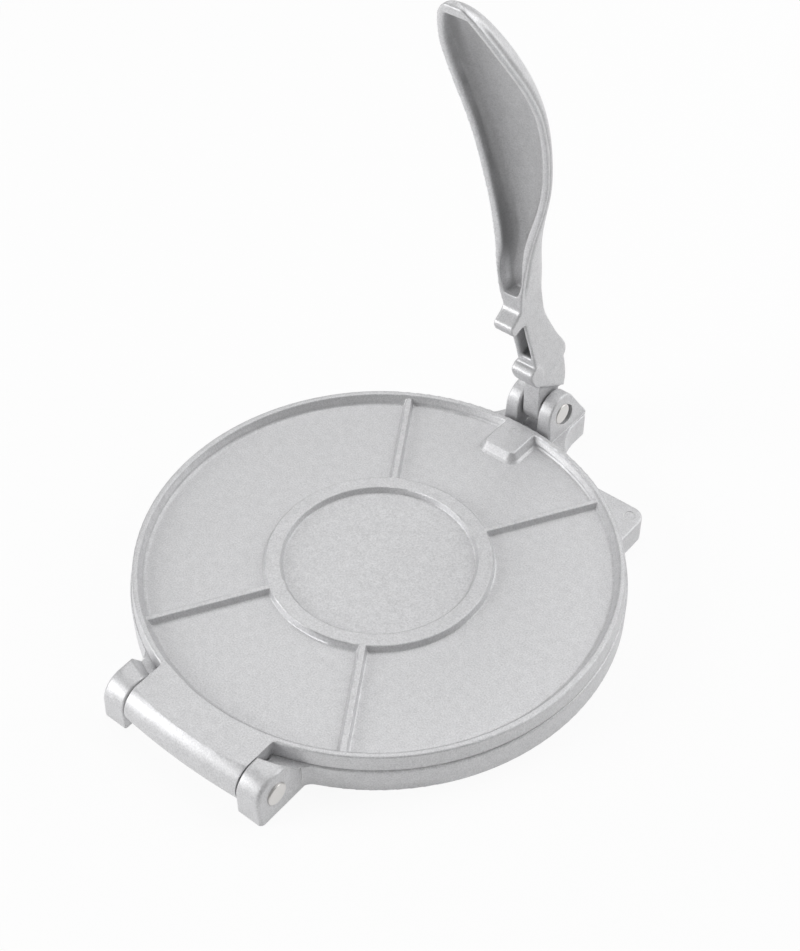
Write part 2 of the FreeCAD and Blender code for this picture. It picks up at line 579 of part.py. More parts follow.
def make_top_plate():
    """Top plate casting: a thin round floor with a rim, a ring and four ribs on its upper side,
    a block at the back for the handle, and the hinge tongue and barrel at the front."""
    body = make_body("top_plate")

    # block that the handle presses on, wider at its foot, on a narrow sloping plinth
    boss_back = (S.rim_inner_radius + S.plate_radius) / 2
    widening = sine(S.boss_slope) / cosine(S.boss_slope)
    foot_height = plate_floor + S.boss_foot
    grown = (S.plate_height - foot_height) * widening
    for name, height, out, slope in (
            ("boss", S.plate_height, ZERO, S.boss_slope),
            ("boss_plinth", foot_height, grown, S.plinth_slope)):
        half = S.boss_half + out
        front = S.boss_reach - out
        corner = S.boss_corner + out
        outline = make_sketch(body, name + "_outline", "XY_Plane", (ZERO, ZERO, height))
        draw_outline(outline, [
            (-half, boss_back),
            (-half, front + corner),
            (corner - half, front, corner, 1),
            (half - corner, front),
            (half, front + corner, corner, 1),
            (half, boss_back),
        ])
        pad(body, name, outline, height - plate_floor + S.plate_web / 4, slope=slope,
            backwards=True)
        if name == "boss":
            fillet(body, "boss_edges", [(ZERO, S.boss_reach, S.plate_height)], S.boss_edge)

    rim_foot = S.rim_inner_radius - S.rim_draft
    profile = make_sketch(body, "plate_profile", "XZ_Plane")
    draw_outline(profile, [
        (ZERO, plate_floor_low),
        (S.plate_foot_radius, plate_floor_low),
        (S.plate_radius, S.plate_height - S.rim_edge),
        (S.plate_radius - S.rim_edge, S.plate_height, S.rim_edge, 1),
        (S.rim_inner_radius + S.rim_edge, S.plate_height),
        (S.rim_inner_radius, S.plate_height - S.rim_edge, S.rim_edge, 1),
        (rim_foot, plate_floor + S.rim_fillet),
        (rim_foot - S.rim_fillet, plate_floor, S.rim_fillet, -1),
        (S.ring_outer + S.ring_draft + S.ring_fillet, plate_floor),
        (S.ring_outer + S.ring_draft, plate_floor + S.ring_fillet, S.ring_fillet, -1),
        (S.ring_outer, ring_top - S.ring_edge),
        (S.ring_outer - S.ring_edge, ring_top, S.ring_edge, 1),
        (S.ring_inner + S.ring_edge, ring_top),
        (S.ring_inner, ring_top - S.ring_edge, S.ring_edge, 1),
        (S.ring_inner - S.ring_draft, ring_floor + S.ring_fillet),
        (S.ring_inner - S.ring_draft - S.ring_fillet, ring_floor, S.ring_fillet, -1),
        (ZERO, ring_floor),
    ])
    revolve(body, "plate", profile, "V_Axis")

    # each pair of ribs is one bar from rim to rim, cleared away inside the ring
    rib_foot = S.rib_width / 2 + S.rib_draft
    for side in (-1, 1):
        rib = make_sketch(body, "rib_section_%d" % side, "XZ_Plane")
        turn(rib, FreeCAD.Vector(0, 1, 0), side)
        draw_outline(rib, [
            (-(rib_foot + S.rib_fillet), plate_floor - S.plate_web / 2),
            (rib_foot + S.rib_fillet, plate_floor - S.plate_web / 2),
            (rib_foot + S.rib_fillet, plate_floor),
            (rib_foot, plate_floor + S.rib_fillet, S.rib_fillet, -1),
            (S.rib_width / 2, ring_top - S.rib_edge),
            (S.rib_width / 2 - S.rib_edge, ring_top, S.rib_edge, 1),
            (S.rib_edge - S.rib_width / 2, ring_top),
            (-S.rib_width / 2, ring_top - S.rib_edge, S.rib_edge, 1),
            (-rib_foot, plate_floor + S.rib_fillet),
            (-(rib_foot + S.rib_fillet), plate_floor, S.rib_fillet, -1),
        ])
        pad(body, "rib_%d" % side, rib, (S.rim_inner_radius + S.rim_draft) * 2, centred=True)
    middle = make_sketch(body, "ring_middle_profile", "XZ_Plane")
    draw_outline(middle, [
        (ZERO, ring_floor),
        (S.ring_inner - S.ring_draft - S.ring_fillet, ring_floor),
        (S.ring_inner - S.ring_draft, ring_floor + S.ring_fillet, S.ring_fillet, 1),
        (S.ring_inner, ring_top - S.ring_edge),
        (S.ring_inner, ring_top + S.overrun),
        (ZERO, ring_top + S.overrun),
    ])
    revolve(body, "ring_middle", middle, "V_Axis", cut=True)

    # tongue from the rim to the barrel, and the crowned barrel
    tongue_inside = (S.rim_inner_radius + S.plate_radius) / 2
    line_y, (curve_x, curve_y) = root_points(S.barrel_half, S.tongue_corner, S.plate_radius)
    tongue_root = along_circle(tongue_inside, curve_x)
    tongue = make_sketch(body, "tongue_outline", "XY_Plane", (ZERO, ZERO, plate_floor_low))
    draw_outline(tongue, [
        (-curve_x, -tongue_root, tongue_inside, -1),
        (-curve_x, -curve_y),
        (-S.barrel_half, -line_y, S.tongue_corner, -1),
        (-S.barrel_half, -S.hinge_reach),
        (S.barrel_half, -S.hinge_reach),
        (S.barrel_half, -line_y),
        (curve_x, -curve_y, S.tongue_corner, -1),
        (curve_x, -tongue_root),
    ])
    pad(body, "tongue", tongue, S.plate_height - plate_floor_low)
    crown = S.barrel_middle_radius - S.barrel_end_radius
    crown_radius = (S.barrel_half * S.barrel_half / crown + crown) / 2
    barrel = make_sketch(body, "barrel_profile", "XY_Plane",
                         (ZERO, -S.hinge_reach, S.hinge_height))
    draw_outline(barrel, [
        (-S.barrel_half, ZERO),
        (-S.barrel_half, -S.barrel_end_radius),
        (S.barrel_half, -S.barrel_end_radius, crown_radius, 1),
        (S.barrel_half, ZERO),
    ])
    revolve(body, "barrel", barrel, "H_Axis")
    barrel_front = S.hinge_reach + S.barrel_middle_radius + S.overrun
    barrel_back = S.hinge_reach - S.barrel_middle_radius - S.overrun
    wide = S.barrel_half + S.overrun
    for name, height, backwards in (("barrel_flat_top", S.plate_height, True),
                                    ("barrel_flat_under", S.hinge_height - S.barrel_drop,
                                     False)):
        flat = make_sketch(body, name + "_outline", "XY_Plane", (ZERO, ZERO, height))
        draw_outline(flat, [(-wide, -barrel_front), (wide, -barrel_front),
                            (wide, -barrel_back), (-wide, -barrel_back)])
        pocket(body, name, flat, S.barrel_middle_radius, backwards=backwards)
    bore = make_sketch(body, "barrel_bore_outline", "YZ_Plane")
    draw_circle(bore, -S.hinge_reach, S.hinge_height, S.hinge_pin_radius + S.running_clearance)
    pocket(body, "barrel_bore", bore, S.barrel_half * 2 + S.overrun, centred=True)

    # round casting mark on the block
    mark = make_sketch(body, "boss_mark_outline", "XY_Plane", (ZERO, ZERO, S.plate_height))
    mark_y = S.boss_reach + (boss_back - S.boss_reach) * boss_mark_share
    draw_circle(mark, ZERO, mark_y, S.mark_radius)
    pocket(body, "boss_mark", mark, S.mark_depth)
    return body


def make_pin(label, radius, half_length, reach, height):
    """A plain round pin along X with rounded ends."""
    body = make_body(label)
    outline = make_sketch(body, label + "_outline", "YZ_Plane")
    draw_circle(outline, reach, height, radius)
    pad(body, label + "_rod", outline, half_length * 2, centred=True)
    fillet(body, label + "_ends",
           [(half_length * side, reach, height + radius) for side in (-1, 1)], S.pin_edge)
    return body


# The lip of the scoop, from the neck to the tip. Each row gives the height as a share of
# scoop_rise, how far forward as a share of scoop_lean, the half width as a share of
# scoop_half, the depth behind the lip as a share of scoop_depth, and how square the section is.
SCOOP_SHARES = [
    (-0.040, -0.035, 0.252, 1.48, 3.6),
    (0.007, 0.003, 0.300, 1.57, 3.4),
    (0.152, 0.024, 0.430, 1.34, 2.6),
    (0.283, 0.017, 0.636, 1.12, 2.2),
    (0.402, 0.062, 0.830, 1.02, 2.1),
    (0.533, 0.183, 0.950, 0.96, 2.1),
    (0.670, 0.381, 1.000, 0.98, 2.1),
    (0.760, 0.552, 0.915, 0.99, 2.1),
    (0.830, 0.702, 0.780, 0.95, 2.1),
    (0.909, 0.860, 0.565, 0.76, 2.0),
    (0.954, 0.945, 0.400, 0.53, 2.0),
    (0.983, 0.988, 0.200, 0.26, 2.0),
]

# The opening of the scoop follows the same lip. Each row names a row of the table above and
# gives how much of the full wall the lip keeps there, and the depth of the floor as a share of
# scoop_hollow_depth.
HOLLOW_SHARES = [
    (1, 0.92, 0.78),
    (2, 1.0, 1.00),
    (3, 1.0, 1.05),
    (4, 1.0, 1.02),
    (5, 1.0, 1.00),
    (6, 1.0, 1.00),
    (7, 1.0, 1.00),
    (8, 1.0, 0.95),
    (9, 1.0, 0.68),
    (10, 0.95, 0.38),
]
hollow_squareness_share = 2.2


def lip_frame(index):
    """Point on the lip and the direction behind it, for one row of the scoop's table."""
    def spot(row):
        rise, lean = SCOOP_SHARES[row][:2]
        return FreeCAD.Vector(
            0, S.pivot_reach.number - S.neck_lean.number - S.scoop_lean.number * lean,
            S.pivot_height.number + S.neck_length.number + S.scoop_rise.number * rise)
    before = spot(max(index - 1, 0))
    after = spot(min(index + 1, len(SCOOP_SHARES) - 1))
    upward = (after - before).normalize()
    return spot(index), FreeCAD.Vector(0, upward.z, -upward.y)


def curved_back(middle, behind, half, depth, squareness):
    """Curve from one end of a section's lip round its back to the other end: a round that
    grows squarer with its last number."""
    steps = 8
    points = []
    for step in range(steps + 1):
        angle = math.pi * step / steps
        across = math.copysign(abs(math.cos(angle)) ** (2 / squareness), math.cos(angle))
        back = math.sin(angle) ** (2 / squareness) if step < steps else 0.0
        points.append(middle + FreeCAD.Vector(half * across, 0, 0) + behind * (depth * back))
    curve = Part.BSplineCurve()
    curve.interpolate(Points=points, Parameters=[step / steps for step in range(steps + 1)])
    return curve.toShape(), points[0], points[-1]


def make_scoop():
    """The hollow grip of the handle: sections set square to the curve of the lip."""
    outer = []
    inner = []
    for index, (_, _, half, depth, squareness) in enumerate(SCOOP_SHARES):
        middle, behind = lip_frame(index)
        back, right, left = curved_back(middle, behind, half * S.scoop_half.number,
                                        depth * S.scoop_depth.number, squareness)
        outer.append(Part.Wire([back, Part.makeLine(left, right)]))
    for index, wall, depth in HOLLOW_SHARES:
        middle, behind = lip_frame(index)
        half = SCOOP_SHARES[index][2] * S.scoop_half.number - wall * S.scoop_lip.number
        back, right, left = curved_back(middle, behind, half,
                                        depth * S.scoop_hollow_depth.number,
                                        hollow_squareness_share)
        ahead = behind * -S.overrun.number
        inner.append(Part.Wire([back, Part.makeLine(left, left + ahead),
                                Part.makeLine(left + ahead, right + ahead),
                                Part.makeLine(right + ahead, right)]))
    shape = Part.makeLoft(outer, True, False).cut(Part.makeLoft(inner, True, False))
    scoop = doc.addObject("Part::Feature", "scoop")
    scoop.Shape = shape.Solids[0]
    return scoop


def neck(forward_share, up_share):
    """A point of the handle's side view, from its axis: forward as a share of neck_lean and
    up as a share of neck_length."""
    return (S.pivot_reach - S.neck_lean * forward_share,
            S.pivot_height + S.neck_length * up_share)


# Side views of the handle below the scoop. Each row gives a corner as for neck(), and how much
# of the shorter side next to the corner its rounding takes away.
NECK_SHARES = [
    (1.000, 1.000, 0), (0.934, 0.917, 0.35), (0.960, 0.897, 0.45), (1.165, 0.839, 0.45),
    (1.136, 0.799, 0.45), (1.073, 0.772, 0.45), (0.813, 0.801, 0.25), (0.674, 0.649, 0.45),
    (0.535, 0.503, 0.45), (0.462, 0.412, 0.45), (0.396, 0.325, 0.45), (0.319, 0.231, 0),
    (-0.374, 0.080, 0), (-0.385, 0.184, 0.30), (-0.304, 0.315, 0), (-0.363, 0.339, 0.40),
    (-0.344, 0.395, 0.45), (-0.245, 0.455, 0.45), (-0.092, 0.527, 0.45), (0.128, 0.657, 0.45),
    (0.286, 0.756, 0.45), (0.355, 0.823, 0.45), (0.344, 0.925, 0.45), (0.355, 1.000, 0),
]
CAM_SHARES = [
    (0.505, 0.405, 0.45), (0.593, 0.376, 0.45), (0.586, 0.349, 0.45), (0.498, 0.289, 0.45),
    (0.396, 0.245, 0.45), (0.341, 0.240, 0.45), (0.253, 0.299, 0), (0.297, 0.361, 0),
    (0.432, 0.408, 0.45),
]
SHOULDER_SHARES = [
    (0.359, 0.245, 0.45), (0.319, 0.231, 0), (-0.374, 0.080, 0), (-0.385, 0.184, 0.30),
    (-0.304, 0.315, 0.30), (-0.106, 0.319, 0.45), (-0.007, 0.299, 0.45), (0.267, 0.285, 0),
]
# top of the handle's tongue at its front and at its back, inside the neck
TONGUE_SHARES = [(0, 0.245), (0, 0.160)]
# upper and lower end of the pocket in the front of the neck
POCKET_SHARES = [(0.775, 0.759), (0.502, 0.459)]


def rounded(rows):
    """Turns the corners of a side view into a path of lines and tangent arcs."""
    spots = [FreeCAD.Vector(-S.neck_lean.number * forward, S.neck_length.number * up, 0)
             for forward, up, _ in rows]
    path = []
    for index, (forward, up, share) in enumerate(rows):
        if share == 0:
            path.append(neck(forward, up))
            continue
        back = spots[index - 1] - spots[index]
        ahead = spots[(index + 1) % len(rows)] - spots[index]
        cut = share * min(back.Length, ahead.Length)
        radius = cut * math.tan(back.getAngle(ahead) / 2)
        left_turn = back.cross(ahead).z < 0
        back.normalize()
        ahead.normalize()
        ends = []
        for spot in (spots[index] + back * cut, spots[index] + ahead * cut):
            ends.append(neck(-spot.x / S.neck_lean.number, spot.y / S.neck_length.number))
        path.append(ends[0])
        path.append((*ends[1], S.neck_length * (radius / S.neck_length.number),
                     1 if left_turn else -1))
    return path


def make_handle():
    """Handle casting: a hollow scoop on a narrow neck, with a nose and a cam that bear on the
    top plate, a shoulder that stops on the ears and a tongue between them."""
    body = make_body("handle")
    body.BaseFeature = make_scoop()
    doc.recompute()
    for name, shares, half in (("neck", NECK_SHARES, S.neck_half),
                               ("cam", CAM_SHARES, S.cam_half),
                               ("shoulder", SHOULDER_SHARES, S.shoulder_half)):
        outline = make_sketch(body, name + "_outline", "YZ_Plane")
        draw_outline(outline, rounded(shares))
        pad(body, name, outline, half * 2, centred=True)
    tongue = make_sketch(body, "handle_tongue_outline", "YZ_Plane")
    front = S.pivot_reach - S.tongue_radius
    back = S.pivot_reach + S.tongue_radius
    tongue_front, tongue_back = [neck(*share)[1] for share in TONGUE_SHARES]
    draw_outline(tongue, [
        (front, tongue_front),
        (front, S.pivot_height),
        (S.pivot_reach, S.pivot_height - S.tongue_radius, S.tongue_radius, 1),
        (back, S.pivot_height, S.tongue_radius, 1),
        (back, tongue_back),
    ])
    pad(body, "handle_tongue", tongue, S.tongue_half * 2, centred=True)
    high, low = [neck(*share) for share in POCKET_SHARES]
    rise = high[1] - low[1]
    run = low[0] - high[0]
    slant = root(rise * rise + run * run)
    hollow = make_sketch(body, "neck_pocket_outline", "YZ_Plane")
    draw_outline(hollow, [
        (end[0] + depth * rise / slant, end[1] + depth * run / slant)
        for end, depth in ((high, -S.overrun), (low, -S.overrun),
                           (low, S.pocket_depth), (high, S.pocket_depth))
    ])
    pocket(body, "neck_pocket", hollow, S.pocket_half * 2, centred=True)
    bore = make_sketch(body, "handle_bore_outline", "YZ_Plane")
    draw_circle(bore, S.pivot_reach, S.pivot_height,
                S.handle_pin_radius + S.running_clearance)
    pocket(body, "handle_bore", bore, S.cam_half * 2 + S.overrun, centred=True)
    return body


base = make_base()
top_plate = make_top_plate()
handle = make_handle()
lug_face = S.lug_foot - S.lug_draft / 2
ear_lean = (S.pivot_height - S.base_height) / (S.pivot_height + S.ear_radius - S.base_height)
ear_face = S.ear_half - S.ear_draft * ear_lean
hinge_pin = make_pin("hinge_pin", S.hinge_pin_radius, lug_face + S.hinge_pin_proud,
                     -S.hinge_reach, S.hinge_height)
handle_pin = make_pin("handle_pin", S.handle_pin_radius, ear_face + S.handle_pin_proud,
                      S.pivot_reach, S.pivot_height)

bodies = [base, top_plate, handle, hinge_pin, handle_pin]
for body in bodies:
    body.setExpression("Placement.Base.y", middle_shift.formula)
doc.recompute()

for item in doc.Objects:
    if "Invalid" in item.State or "Error" in item.State:
        raise RuntimeError(item.Label + " did not build")
for body in bodies:
    if body.Shape.isNull() or not body.Shape.isValid() or len(body.Shape.Solids) != 1:
        raise RuntimeError(body.Label + " is not one sound solid")

os.makedirs("parts", exist_ok=True)
for body in bodies:
    body.Shape.exportStep("parts/%s.step" % body.Label)
    box = body.Shape.BoundBox
    print("%s: volume %.0f, x %.2f to %.2f, y %.2f to %.2f, z %.2f to %.2f" % (
        body.Label, body.Shape.Volume, box.XMin, box.XMax, box.YMin, box.YMax,
        box.ZMin, box.ZMax))
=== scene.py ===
# %% [markdown]
# # A cast-aluminium tortilla press
#
# The press stands closed, with its lever handle up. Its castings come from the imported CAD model.
# This lesson gives them their cast skin, softens the handle, and sets the light and the camera
# as they are in the photograph.

# %% Loading the castings
import math

import bmesh
import bpy
import numpy as np
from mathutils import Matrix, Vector


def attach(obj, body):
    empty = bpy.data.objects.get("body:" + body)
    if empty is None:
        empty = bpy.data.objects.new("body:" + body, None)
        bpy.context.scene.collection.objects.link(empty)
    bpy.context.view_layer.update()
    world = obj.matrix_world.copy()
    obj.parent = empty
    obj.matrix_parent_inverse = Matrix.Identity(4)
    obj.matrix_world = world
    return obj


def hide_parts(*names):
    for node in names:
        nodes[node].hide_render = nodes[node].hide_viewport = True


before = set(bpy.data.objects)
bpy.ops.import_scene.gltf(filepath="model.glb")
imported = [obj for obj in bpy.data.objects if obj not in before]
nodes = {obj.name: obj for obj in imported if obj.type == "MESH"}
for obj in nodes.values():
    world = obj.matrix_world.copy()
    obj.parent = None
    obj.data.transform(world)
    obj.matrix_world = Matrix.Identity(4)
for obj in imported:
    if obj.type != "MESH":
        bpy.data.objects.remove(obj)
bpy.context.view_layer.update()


MM = 0.001
print("castings and pins:", sorted(nodes))

# %% [markdown]
# ## The handle as one even skin
#
# The handle is cast in one: a hollow grip on a narrow neck. The CAD model has its shape, but with
# the sharp edges of a drawing, while the real one left a sand mould and was tumbled. Every edge
# could get a bevel, but the grip, the nose and the cam run into each other, and a bevel breaks
# there. Clay is the better picture: the handle is rebuilt as one even skin of small cells, whose
# points the next steps move.

# %% One even skin
CELL = 0.49 * MM
JOIN_DISTANCE = 0.001 * MM


def copy_joined(node, name):
    """A copy of a CAD node whose loose triangles share their corners."""
    piece = bpy.data.objects.new(name, node.data.copy())
    bpy.context.scene.collection.objects.link(piece)
    work = bmesh.new()
    work.from_mesh(piece.data)
    bmesh.ops.remove_doubles(work, verts=work.verts, dist=JOIN_DISTANCE)
    work.to_mesh(piece.data)
    work.free()
    return piece


def recast(piece, cell):
    """Rebuilds a closed mesh as square cells of one size."""
    remesh = piece.modifiers.new("even_cells", "REMESH")
    remesh.mode = "VOXEL"
    remesh.voxel_size = cell
    view = bpy.context.evaluated_depsgraph_get()
    piece.data = bpy.data.meshes.new_from_object(piece.evaluated_get(view))
    piece.modifiers.clear()
    return piece


handle = recast(copy_joined(nodes["handle"], "handle_casting"), CELL)
print("handle:", len(handle.data.vertices), "points,", len(handle.data.polygons), "cells")

# %% Reading and writing a skin


def read_points(mesh):
    """The places of all points, one row each."""
    points = np.empty(len(mesh.vertices) * 3)
    mesh.vertices.foreach_get("co", points)
    return points.reshape(-1, 3)


def read_edges(mesh):
    """The two point numbers of every edge, one row each."""
    edges = np.empty(len(mesh.edges) * 2, dtype=np.int64)
    mesh.edges.foreach_get("vertices", edges)
    return edges.reshape(-1, 2)


def read_normals(mesh):
    """The direction that the skin faces at every point, one row each."""
    normals = np.empty(len(mesh.vertices) * 3)
    mesh.vertices.foreach_get("normal", normals)
    return normals.reshape(-1, 3)


def write_points(mesh, points):
    """Puts all points in new places."""
    mesh.vertices.foreach_set("co", points.ravel())
    mesh.update()


handle_edges = read_edges(handle.data)
print("handle:", len(handle_edges), "edges")

# %% [markdown]
# ## The back line at the neck
#
# On the real handle the back of the grip runs into the neck in one smooth line, where the drawing
# has a small step with square corners. A new surface could be laid over the step, but it would
# have to meet the old one on all sides. So what stands behind the line is brought down to it, and
# the corners go a little further the higher they lie.

# %% Easing the nape
# height and place of the back line where the grip runs into the neck, in millimetres
NAPE = np.array([(80.0, 94.3), (84.0, 93.1), (88.0, 92.5), (92.0, 92.2), (96.0, 92.0),
                 (100.0, 91.8), (104.0, 91.6), (106.0, 91.4)])
NAPE_CORNER = 2.6
NAPE_RAMP = 16.0
NECK_HALF = 4.7


def ease_nape(points):
    """Cuts what stands behind the back line and rounds its corners more and more upwards:
    y = min(y, line(height) - corner * ramp(height) * |x / half width|^3)."""
    height = points[:, 2] / MM
    across = np.clip(np.abs(points[:, 0]) / (NECK_HALF * MM), 0, 1)
    line = np.interp(height, NAPE[:, 0], NAPE[:, 1])
    ramp = np.clip((height - NAPE[0, 0]) / NAPE_RAMP, 0, 1)
    line = (line - NAPE_CORNER * ramp * across ** 3) * MM
    close = (height > NAPE[0, 0]) & (height < NAPE[-1, 0])
    points = points.copy()
    points[close, 1] = np.minimum(points[close, 1], line[close])
    return points


cast_points = read_points(handle.data)
drawn_points = ease_nape(cast_points)
print("nape: cut by up to", round(float((cast_points - drawn_points).max() / MM), 2), "mm")

# %% [markdown]
# ## Tumbling
#
# Tumbling stones rub every edge round and leave the flats as they are. Moving each
# point a little towards the middle of its neighbours does the same: it rounds what is sharp and
# leaves what is smooth. How far a point moved is kept, because the skin paints a highlight there.

# %% Rounding the edges
FORWARD_SHARE = 0.5
BACK_SHARE = 0.2
TUMBLE_PASSES = 7
# how far the tumbling has to move a point before its skin takes a painted highlight, and how
# much further before the painted highlight is full
HIGHLIGHT_START_MM = 0.12
HIGHLIGHT_SPAN_MM = 0.2
HIGHLIGHT_PASSES = 2


def neighbour_mean(points, edges, counts):
    """Middle of each point's neighbours: the sum over its edges, divided by their number."""
    total = np.zeros_like(points)
    np.add.at(total, edges[:, 0], points[edges[:, 1]])
    np.add.at(total, edges[:, 1], points[edges[:, 0]])
    return total / counts[:, None]


def tumble(points, edges, passes):
    """Rounds the edges: in each pass a point moves half the way to the middle of its
    neighbours, and then back by a fifth of what is left, so the piece keeps its size."""
    counts = np.bincount(edges.ravel(), minlength=len(points)).astype(float)
    for _ in range(passes):
        points = points + FORWARD_SHARE * (neighbour_mean(points, edges, counts) - points)
        points = points - BACK_SHARE * (neighbour_mean(points, edges, counts) - points)
    return points


def smooth_values(values, edges, passes):
    """Spreads one number per point over its neighbours, half the way in each pass."""
    counts = np.bincount(edges.ravel(), minlength=len(values)).astype(float)
    column = values[:, None]
    for _ in range(passes):
        column = column + FORWARD_SHARE * (neighbour_mean(column, edges, counts) - column)
    return column[:, 0]


handle_points = tumble(drawn_points, handle_edges, TUMBLE_PASSES)
write_points(handle.data, handle_points)
moved = np.linalg.norm(handle_points - drawn_points, axis=1) / MM
# the painted highlight grows with how far each point moved
highlight_ramp = np.clip((moved - HIGHLIGHT_START_MM) / HIGHLIGHT_SPAN_MM, 0, 1)
rounded_highlight = smooth_values(highlight_ramp, handle_edges, HIGHLIGHT_PASSES)
print("tumbled by up to", round(float(moved.max()), 2), "mm")

# %% [markdown]
# ## The groove beside the lip
#
# Round the opening of the grip runs a flat lip, and just outside it a shallow groove, such as
# the seam of a mould leaves. It follows the lip all the way, so it is worked out from the lip's
# own line: for every point of the skin, how far behind the lip it lies, and a smooth dip there.
#
# Lengths in this step and in the next two are in millimetres. A ramp is a start and a span: it
# is nought up to its start and one past its span. Where it has to fall with height, it is read
# at the height below nought.

# %% The lip line
# height, distance from the handle axis towards the hinge and half width, in millimetres
LIP = np.array([
    (92.0, 25.9, 4.8), (98.6, 27.4, 5.6), (119.5, 28.3, 8.0), (138.5, 28.0, 11.9),
    (155.6, 29.9, 15.5), (174.6, 35.0, 17.8), (194.3, 43.3, 18.7), (207.3, 50.5, 17.1),
    (217.5, 56.8, 14.6), (228.9, 63.4, 10.6), (235.4, 67.0, 7.5), (239.5, 68.8, 3.7),
])
PIVOT_Y = 102.35


def rise(value, start, span):
    """Nought below start, one above start + span, and a straight ramp between."""
    return np.clip((value - start) / span, 0, 1)


def beside_lip(points):
    """For each point, in millimetres: its height, its distance from the middle plane, how far
    it lies behind the lip, and the half width of the grip there. The distance behind is
    (y - lip y) divided by the root of 1 + lean squared, because the lip leans."""
    height = points[:, 2] / MM
    across = np.abs(points[:, 0]) / MM
    lip_y = PIVOT_Y - np.interp(height, LIP[:, 0], LIP[:, 1])
    slope = np.gradient(LIP[:, 1], LIP[:, 0])
    lean = np.interp(height, LIP[:, 0], slope)
    behind = (points[:, 1] / MM - lip_y) / np.sqrt(1 + lean ** 2)
    half = np.interp(height, LIP[:, 0], LIP[:, 2])
    return height, across, behind, half


print("lip: from", LIP[0, 0], "to", LIP[-1, 0], "mm high,", 2 * LIP[:, 2].max(), "mm wide")

# %% The groove
# middle of the groove behind the lip, half its width, and its depth
GROOVE_BACK = 2.3
GROOVE_HALF = 0.75
GROOVE_DEPTH = 0.6
# ramps: the skin faces sideways, it lies near the side of the grip, and the groove's two ends
FACES_SIDEWAYS = (0.15, 0.35)
NEAR_SIDE = (-3.0, 1.5)
GROOVE_FOOT = (96.0, 8.0)
GROOVE_HEAD = (-236.0, 6.0)


def lip_groove(points, normals):
    """How far each point sinks, in metres: depth times exp(-((behind - middle) / half)^2), for
    points whose skin faces sideways, faded out below the grip and at its tip."""
    height, across, behind, half = beside_lip(points)
    dip = np.exp(-((behind - GROOVE_BACK) / GROOVE_HALF) ** 2)
    outward = np.sign(points[:, 0]) * normals[:, 0]
    outer = rise(outward, *FACES_SIDEWAYS) * rise(across - half, *NEAR_SIDE)
    fade = rise(height, *GROOVE_FOOT) * rise(-height, *GROOVE_HEAD)
    return GROOVE_DEPTH * MM * dip * outer * fade


handle_normals = read_normals(handle.data)
sink = lip_groove(handle_points, handle_normals)
handle_points = handle_points - handle_normals * sink[:, None]
handle.data.polygons.foreach_set("use_smooth", [True] * len(handle.data.polygons))
write_points(handle.data, handle_points)
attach(handle, "lever")
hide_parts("handle")
print("groove: up to", round(float(sink.max() / MM), 2), "mm deep")

# %% [markdown]
# ## A squarer hollow
#
# The hollow of the real grip has steep walls and a wide floor, and the drawing's section is
# rounder. The hollow could be drawn and cut again, but both sections are power curves, so it is
# enough to move each of its points outwards along its own ray.

# %% The hollow's section
# the power of the section as it is drawn and as it is made, and the most that a point moves, as
# a share of its distance from the middle of the opening
SQUARENESS_DRAWN = 2.2
SQUARENESS = 3.0
MOST_GAIN = 0.12
# ramps: the skin faces inwards, it is inside the wall, and it is behind the opening
FACES_INWARDS = (0.1, 0.4)
HOLLOW_SIDE = (1.6, 0.8)
HOLLOW_MOUTH = (1.0, 2.5)
# the heights between which the hollow is reshaped, and the ramps at both
HOLLOW_LOW = 108.0
HOLLOW_HIGH = 226.0
LOW_SPAN = 12.0
HIGH_SPAN = 10.0
# the depth is read at levels, from the points near each level and near the middle plane
LEVEL_STEP = 4.0
LEVEL_REACH = 2.5
MIDDLE_REACH = 2.0
INSIDE_ENOUGH = 0.5
DEPTH_IF_NONE = 8.0
WALL = 1.9
TINY = 1e-9


def square_hollow(points, normals):
    """Makes the hollow's round section squarer: on the drawn curve |u|^a + |v|^a = 1, with u
    across and v behind the lip, each point moves along its own ray to |u|^b + |v|^b = 1."""
    height, across, behind, half = beside_lip(points)
    inward = -np.sign(points[:, 0]) * normals[:, 0]
    facing = rise(inward - normals[:, 1], *FACES_INWARDS)
    inside = facing * rise(half - across, *HOLLOW_SIDE) * rise(behind, *HOLLOW_MOUTH)
    inside = inside * rise(height, HOLLOW_LOW, LOW_SPAN) * rise(-height, -HOLLOW_HIGH, HIGH_SPAN)
    middle = (inside > INSIDE_ENOUGH) & (across < MIDDLE_REACH)
    levels = np.arange(HOLLOW_LOW, HOLLOW_HIGH + LEVEL_STEP, LEVEL_STEP)
    depths = []
    for level in levels:
        near = middle & (np.abs(height - level) < LEVEL_REACH)
        depths.append(float(np.median(behind[near])) if near.any() else DEPTH_IF_NONE)
    depth = np.interp(height, levels, depths)
    u = np.clip(across / (half - WALL), 0, 1)
    v = np.clip(behind / depth, 0, 1)
    drawn = (u ** SQUARENESS_DRAWN + v ** SQUARENESS_DRAWN + TINY) ** (1 / SQUARENESS_DRAWN)
    squarer = (u ** SQUARENESS + v ** SQUARENESS + TINY) ** (1 / SQUARENESS)
    gain = np.clip(drawn / squarer - 1, 0, MOST_GAIN) * inside
    points = points.copy()
    points[:, 0] += points[:, 0] * gain
    points[:, 1] += behind * MM * gain
    return points


squared = square_hollow(handle_points, handle_normals)
print("hollow: moved up to", round(float(np.abs(squared - handle_points).max() / MM), 2), "mm")
handle_points = squared
write_points(handle.data, handle_points)

# %% [markdown]
# ## Painted shade in the hollows and painted highlights on the edges
#
# The hollow of the grip, the pocket in the neck and the groove beside the lip are darkened with
# painted shade, the walls of the hollow more than its floor, and the edges that the tumbling
# rounded get a painted highlight. Both could be painted on an unwrapped picture. Here both are
# stored on the handle's own points, one number each, for its skin to read.

# %% Painted shade in hollows and painted highlights on rounded edges
# how dark the painted shade is on the floor of the grip's hollow, how much darker on its walls,
# and in the groove
FLOOR_SHADE = 0.30
WALL_SHADE = 0.32
GROOVE_SHADE = 0.4
